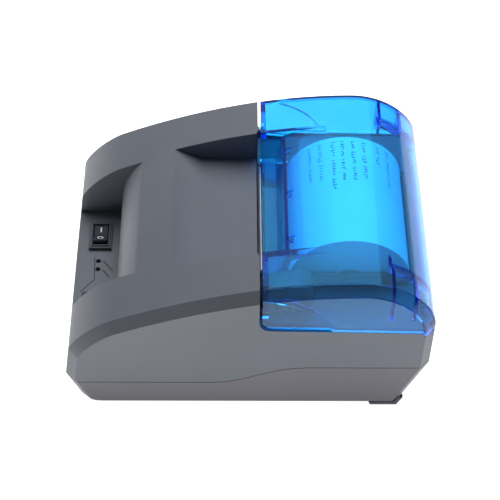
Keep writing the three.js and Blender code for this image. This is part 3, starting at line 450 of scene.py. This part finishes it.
def receipt_print():
    """Rows of abstract marks along the roll, as a printed test slip wound on it would show."""
    rng = random.Random(58)
    bold, faint = bmesh.new(), bmesh.new()
    pitch, width = LETTER["pitch"], LETTER["stroke"]
    arc = LETTER["height"] / ROLL_RADIUS
    for degrees, length, is_bold in PRINT_ROWS:
        bm = bold if is_bold else faint
        top = math.radians(degrees)
        x = PRINT_START * MM
        while x < (PRINT_START + length) * MM:
            for letter in range(rng.randint(3, 7)):
                left = x + letter * pitch
                high, low = rng.uniform(0, 0.35) * arc, rng.uniform(0.65, 1) * arc
                stroke(bm, on_roll, [(left, top + high), (left, top + low)], width)
                if rng.random() < 0.7:
                    level = top + rng.choice((high, (high + low) / 2, low))
                    stroke(bm, on_roll, [(left, level), (left + 0.62 * pitch, level)], width)
            x += (letter + 2) * pitch
    new_piece("receipt_print", bold, INKS["thermal"], "roll")
    new_piece("receipt_print_faint", faint, INKS["thermal_faint"], "roll")


def arc_points(centre, radius_x, radius_y, steps=20):
    turns = [2 * math.pi * step / steps for step in range(steps + 1)]
    return [(centre[0] + radius_x * math.cos(turn), centre[1] + radius_y * math.sin(turn), centre[2])
            for turn in turns]


def rocker_marks():
    """The bar and the ring of a power switch, white, on the two halves of its cap."""
    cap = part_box("rocker_cap")
    middle = (Vector(cap[0]) + Vector(cap[1])) / 2
    drop = surface_under(nodes["rocker_cap"])
    marks = bmesh.new()
    bar = [(middle.x - 3.9 * MM, middle.y, 0.03), (middle.x - 1.5 * MM, middle.y, 0.03)]
    stroke(marks, drop, bar, 0.55 * MM)
    ring = arc_points((middle.x + 2.6 * MM, middle.y, 0.03), 0.95 * MM, 1.1 * MM)
    stroke(marks, drop, ring, 0.42 * MM)
    new_piece("rocker_marks", marks, INKS["white"], "rocker")


def panel_marks():
    """The outline round the two lights, and a row of abstract marks in place of each label."""
    drop = surface_under(nodes["top_shell"])
    lines = bmesh.new()

    def at(x, y):
        return x * MM, y * MM, 0.045

    corners = [(-3.9, -66.0), (2.0, -65.75), (8.6, -65.4), (11.5, -67.9), (15.2, -71.0)]
    for first, second in zip(corners, corners[1:]):
        steps = 6
        along = [at(first[0] + (second[0] - first[0]) * step / steps,
                    first[1] + (second[1] - first[1]) * step / steps) for step in range(steps + 1)]
        stroke(lines, drop, along, 0.3 * MM)
    rng = random.Random(2)
    for start, end, marks in (((-1.3, -62.4), (4.3, -58.2), 9), ((3.7, -62.4), (7.7, -59.5), 7)):
        run = Vector((end[0] - start[0], end[1] - start[1]))
        across = Vector((-run.y, run.x)).normalized()
        for mark in range(marks):
            base = Vector(start) + run * (mark / marks)
            tip = base + across * rng.uniform(0.6, 1.05)
            stroke(lines, drop, [at(*base), at(*tip)], 0.26 * MM)
            if rng.random() < 0.6:
                stroke(lines, drop, [at(*tip), at(*(tip + run.normalized() * 0.4))], 0.26 * MM)
    new_piece("panel_marks", lines, INKS["dark"], "case")


def feed_icon():
    """A sheet with an arrow, the usual mark of a paper feed."""
    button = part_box("feed_button")
    middle = (Vector(button[0]) + Vector(button[1])) / 2
    drop = surface_under(nodes["feed_button"])
    icon = bmesh.new()

    def at(x, y):
        return middle.x + x * MM, middle.y + y * MM, 0.035

    stroke(icon, drop, [at(-1.6, -1.9), at(-1.6, 1.9)], 0.3 * MM)
    stroke(icon, drop, [at(1.6, -1.9), at(1.6, 1.9)], 0.3 * MM)
    stroke(icon, drop, [at(0, 1.5), at(0, -1.5)], 0.3 * MM)
    stroke(icon, drop, [at(-0.8, -0.6), at(0, -1.5), at(0.8, -0.6)], 0.3 * MM)
    new_piece("feed_icon", icon, INKS["white"], "feed")


def underside_label():
    """A blank rating label with ruled lines, stuck under the case."""
    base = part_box("bottom_shell")[0][2] / MM
    label = bmesh.new()
    block(label, (*LABEL["low"], base - 0.12), (*LABEL["high"], base + 0.02), bevel=0.05)
    new_piece("underside_label", label, INKS["label"], "case")
    rules = bmesh.new()
    rng = random.Random(7)
    for row in range(LABEL["rows"]):
        y = LABEL["high"][1] - LABEL["row_pitch"] * (row + 1)
        x = LABEL["low"][0] + 4.0
        while x < LABEL["high"][0] - 10:
            length = rng.uniform(3, 9)
            block(rules, (x, y - 0.35, base - 0.16), (x + length, y + 0.35, base - 0.1))
            x += length + 1.6
    new_piece("label_rules", rules, INKS["dark"], "case")


def socket_contacts():
    """What shows inside the three sockets: a tongue, a row of springs and a centre pin."""
    metal_parts, plastic_parts = bmesh.new(), bmesh.new()
    usb, drawer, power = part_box("usb_port"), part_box("drawer_port"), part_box("dc_jack")

    def centre(box):
        low, high = (Vector(corner) / MM for corner in box)
        return (low.x + high.x) / 2, high.y, (low.z + high.z) / 2

    x, rear, z = centre(usb)
    block(plastic_parts, (x - 2.7, rear - 9.1, z - 1.5), (x + 2.7, rear - 1.2, z + 1.5), bevel=0.2)
    for side in (-1, 1):
        for level in (-1, 1):
            block(metal_parts, (x + side * 1.25 - 0.5, rear - 8.9, z + level * 1.5 - 0.08),
                  (x + side * 1.25 + 0.5, rear - 1.6, z + level * 1.5 + 0.08))
    x, rear, z = centre(drawer)
    for pin in range(6):
        left = x - 3.3 + pin * 1.27
        block(metal_parts, (left - 0.2, rear - 8.6, z + 1.4), (left + 0.2, rear - 1.4, z + 1.9),
              bevel=0.08)
        block(metal_parts, (left - 0.2, rear - 8.6, z - 0.4), (left + 0.2, rear - 8.0, z + 1.7),
              bevel=0.08)
    x, rear, z = centre(power)
    pin = bmesh.ops.create_cone(metal_parts, cap_ends=True, segments=24, radius1=1.05 * MM,
                                radius2=1.05 * MM, depth=7.6 * MM)["verts"]
    turn = Matrix.Translation(Vector((x, rear - 5.2, z)) * MM) @ Matrix.Rotation(math.pi / 2, 4, "X")
    bmesh.ops.transform(metal_parts, matrix=turn, verts=pin)
    rim = [edge for edge in metal_parts.edges
           if edge.verts[0] in pin and edge.calc_length() < 0.5 * MM]
    bmesh.ops.bevel(metal_parts, geom=rim, offset=0.2 * MM, segments=2, affect="EDGES")
    new_piece("socket_contacts", metal_parts, LOOKS["brass"], "case")
    new_piece("socket_tongue", plastic_parts, LOOKS["nylon"], "case")


def board_parts():
    """Small surface-mounted parts over the main board, clear of the larger ones."""
    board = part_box("main_board")
    top = board[1][2] / MM
    around = [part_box(name) for name in nodes if name not in ("main_board", "top_shell", "bottom_shell")]
    taken = [box for box in around if box[0][2] < (top + 6) * MM]
    rng = random.Random(11)
    chips, ends = bmesh.new(), bmesh.new()
    for _ in range(BOARD_TRIES):
        x = rng.uniform(board[0][0] / MM + 3, board[1][0] / MM - 3)
        y = rng.uniform(board[0][1] / MM + 3, board[1][1] / MM - 14)
        kind = rng.choice(((1.0, 0.6, 0.5), (1.6, 0.8, 0.6), (2.2, 1.4, 1.0)))
        half_x, half_y, height = kind if rng.random() < 0.5 else (kind[1], kind[0], kind[2])
        blocked = any(low[0] - 0.003 < x * MM < high[0] + 0.003
                      and low[1] - 0.003 < y * MM < high[1] + 0.003 for low, high in taken)
        if blocked:
            continue
        taken.append(((x * MM - 0.002, y * MM - 0.002, 0), (x * MM + 0.002, y * MM + 0.002, 0)))
        block(chips, (x - half_x, y - half_y, top + 0.02), (x + half_x, y + half_y, top + height),
              bevel=0.08)
        if half_x > half_y:
            for side in (-1, 1):
                block(ends, (x + side * half_x - 0.22, y - half_y - 0.03, top + 0.01),
                      (x + side * half_x + 0.22, y + half_y + 0.03, top + height + 0.03), bevel=0.05)
    new_piece("board_chips", chips, LOOKS["black_plastic"], "case")
    new_piece("board_solder_ends", ends, LOOKS["steel"], "case")


def ink(name, colour, roughness=0.5):
    """A printed or pad-printed colour, with a slight unevenness of the print."""
    s = Shader(name, IOR=1.45)
    wear = s.noise(900.0, detail=4.0)
    s.link(s.mix(s.ramp(wear, 0.0, 1.0, 0.35, 0.7), colour, shade(colour, 0.8)), "Base Color")
    s.link(s.ramp(wear, roughness - 0.08, roughness + 0.1, 0.3, 0.7), "Roughness")
    return s.material


LOOKS["brass"] = metal("brass", linear(206, 176, 104), 0.3, (1.0, 0.08, 1.0))
INKS = {
    "thermal": ink("thermal_print", linear(20, 22, 38)),
    "thermal_faint": ink("thermal_print_faint", linear(136, 144, 164)),
    "white": ink("white_mark", linear(226, 226, 224), 0.42),
    "dark": ink("dark_mark", linear(34, 35, 38), 0.46),
    "label": ink("label_silver", linear(188, 190, 192), 0.38),
}
receipt_print()
rocker_marks()
panel_marks()
feed_icon()
underside_label()
socket_contacts()
board_parts()


# ---------------------------------------------------------------- studio
def softbox(name, azimuth, elevation, distance, width, height, radiance, mirrored):
    """A rectangular lamp aimed at the printer; azimuth 0 is in front, 90 on the gear side. Glossy
    surfaces show it only if it is mirrored."""
    lamp = bpy.data.lights.new(name, "AREA")
    lamp.shape = "RECTANGLE"
    lamp.size = width
    lamp.size_y = height
    lamp.energy = radiance * math.pi * width * height
    holder = bpy.data.objects.new(name, lamp)
    turn, lift = math.radians(azimuth), math.radians(elevation)
    out = Vector((math.sin(turn) * math.cos(lift), -math.cos(turn) * math.cos(lift), math.sin(lift)))
    holder.location = Vector((0, 0, 0.04)) + out * distance
    holder.rotation_euler = (-out).to_track_quat("-Z", "Y").to_euler()
    holder.visible_glossy = mirrored
    bpy.context.scene.collection.objects.link(holder)


def underlight():
    """A glow lying on the floor along the gear side, which lifts that side and not its chamfer."""
    lamp = bpy.data.lights.new("underlight", "AREA")
    lamp.shape = "RECTANGLE"
    lamp.size, lamp.size_y = UNDERLIGHT["size"]
    lamp.energy = UNDERLIGHT["radiance"] * math.pi * lamp.size * lamp.size_y
    holder = bpy.data.objects.new("underlight", lamp)
    holder.location = (cad_box[1][0] + UNDERLIGHT["aside"], 0.03, cad_box[0][2] + 0.001)
    holder.rotation_euler = (math.pi, 0, 0)
    holder.visible_camera = False
    holder.visible_glossy = False
    bpy.context.scene.collection.objects.link(holder)


def studio():
    """A pale glowing floor, a large softbox behind the far side, and low ones all round."""
    floor_mesh = bpy.data.meshes.new("floor")
    reach = STUDIO_FLOOR
    corners = [(-reach, -reach, 0), (reach, -reach, 0), (reach, reach, 0), (-reach, reach, 0)]
    floor_mesh.from_pydata(corners, [], [(0, 1, 2, 3)])
    floor = bpy.data.objects.new("floor", floor_mesh)
    floor.location.z = cad_box[0][2] - 0.0002
    bpy.context.scene.collection.objects.link(floor)
    s = Shader("floor", Roughness=0.9, Emission_Color=(1, 1, 1, 1), Emission_Strength=0.95)
    s.link(s.mix(s.noise(6.0), (0.66, 0.66, 0.66, 1), (0.69, 0.69, 0.69, 1)), "Base Color")
    floor_mesh.materials.append(s.material)

    world = bpy.data.worlds.new("studio")
    bpy.context.scene.world = world
    world.use_nodes = True
    background = world.node_tree.nodes["Background"]
    background.inputs["Color"].default_value = (0.94, 0.97, 1.0, 1)
    background.inputs["Strength"].default_value = 0.1

    for settings in SOFTBOXES:
        softbox(*settings)
    underlight()


def camera():
    """A long lens from the gear side, fifty degrees up, with a slight yaw and roll."""
    elevation, yaw, roll = (math.radians(CAMERA[angle]) for angle in ("elevation", "yaw", "roll"))
    back = Vector((math.cos(elevation) * math.cos(yaw), math.cos(elevation) * math.sin(yaw),
                   math.sin(elevation)))
    level = Vector((0, 0, 1)).cross(back).normalized()
    upright = back.cross(level)
    right = math.cos(roll) * level + math.sin(roll) * upright
    up = back.cross(right)
    data = bpy.data.cameras.new("camera")
    data.lens = CAMERA["lens"]
    data.sensor_width = 36.0
    holder = bpy.data.objects.new("camera", data)
    holder.matrix_world = Matrix((right, up, back)).transposed().to_4x4()
    holder.location = CAMERA_TARGET + back * CAMERA["distance"]
    bpy.context.scene.collection.objects.link(holder)
    bpy.context.scene.camera = holder
    bpy.context.scene.view_settings.view_transform = "Standard"


studio()
camera()
